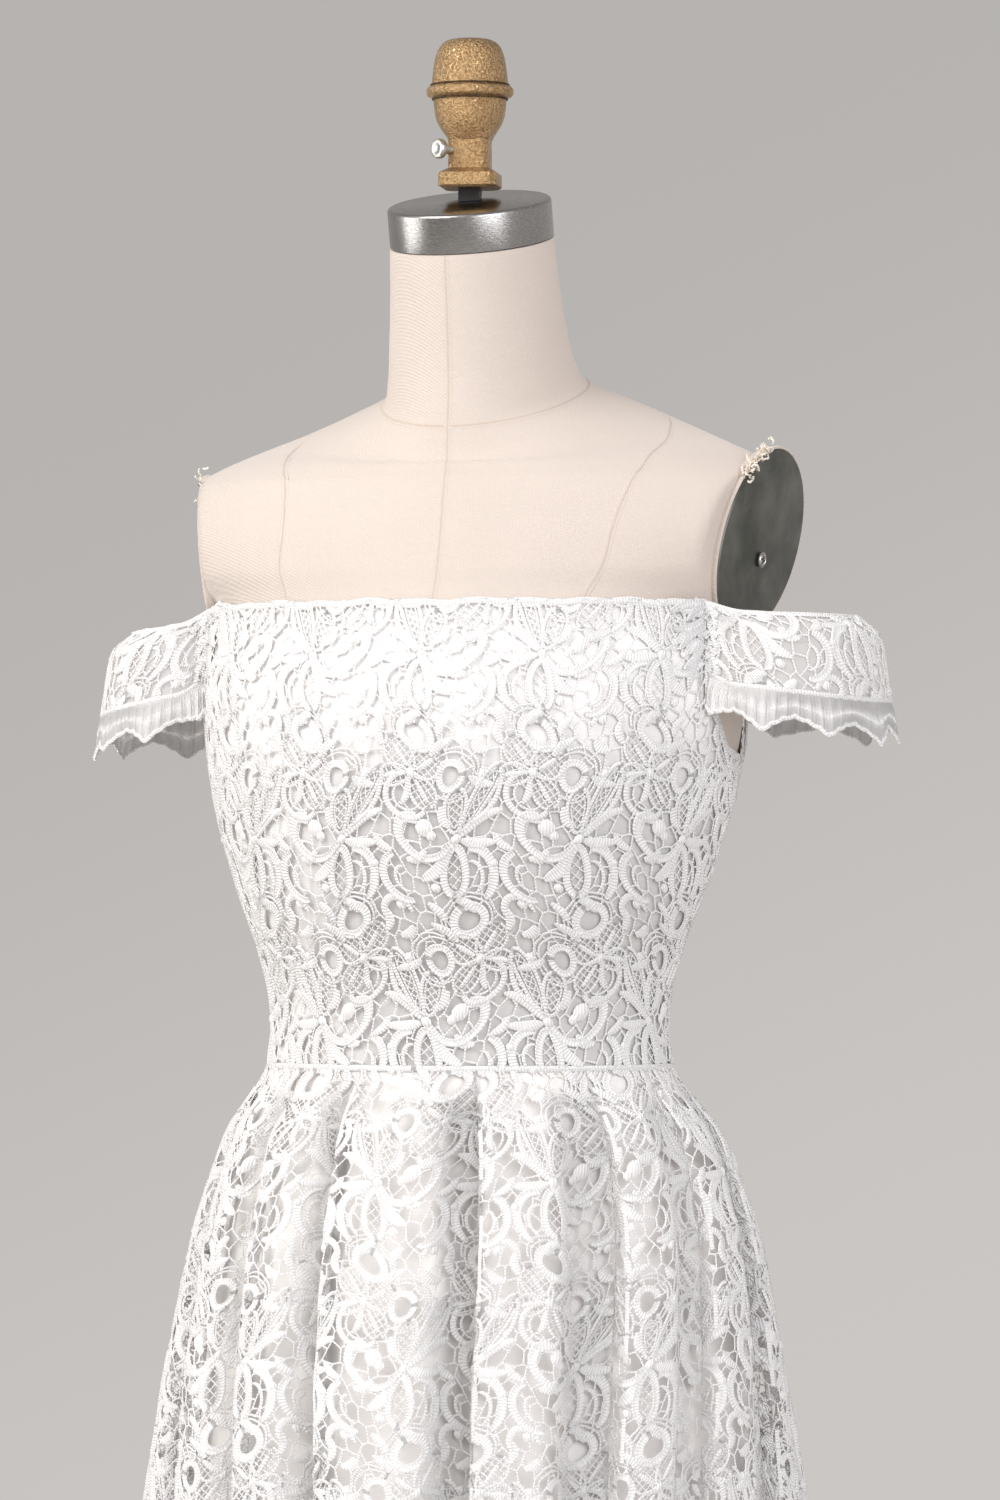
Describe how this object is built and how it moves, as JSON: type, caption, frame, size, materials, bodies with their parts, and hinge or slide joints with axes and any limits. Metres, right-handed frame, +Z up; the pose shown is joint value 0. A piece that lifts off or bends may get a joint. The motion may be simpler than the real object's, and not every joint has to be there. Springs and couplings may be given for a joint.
{
  "type": "wedding dress on a dress form",
  "caption": "Off-the-shoulder wedding dress with straight neckline, pleated tea-length skirt and scalloped lace sleeves, on a limbless dress form with pole and round base.",
  "frame": {"origin": "centre of the round base's underside, on the floor", "axes": "+Z up along the pole, -Y the way the wearer faces, +X the wearer's left"},
  "size_m": [0.5538, 0.5252, 1.6627],
  "materials": {
    "lace": "matte guipure lace",
    "lining": "smooth lining cloth",
    "form_cover": "fine twill jersey",
    "steel": "brushed",
    "dark_steel": "satin",
    "brass": "rough cast",
    "zinc": "zinc plated",
    "black_metal": "satin"
  },
  "bodies": {
    "root": {"bodice_lace_front": "lace", "bodice_lace_back_left": "lace", "bodice_lace_back_right": "lace", "skirt_lace_front": "lace", "skirt_lace_back_left": "lace", "skirt_lace_back_right": "lace", "sleeve_left_front": "lace", "sleeve_left_back": "lace", "sleeve_right_front": "lace", "sleeve_right_back": "lace", "bodice_lining_front": "lining", "bodice_lining_back_left": "lining", "bodice_lining_back_right": "lining", "skirt_lining_front": "lining", "skirt_lining_back_left": "lining", "skirt_lining_back_right": "lining", "form_body": "form_cover", "neck_plate": "steel", "rod": "black_metal", "finial": "brass", "finial_screw": "zinc", "arm_plate_left": "dark_steel", "arm_plate_right": "dark_steel", "arm_screw_left": "zinc", "arm_screw_right": "zinc", "pole": "steel", "base": "black_metal"}
  },
  "joints": []
}
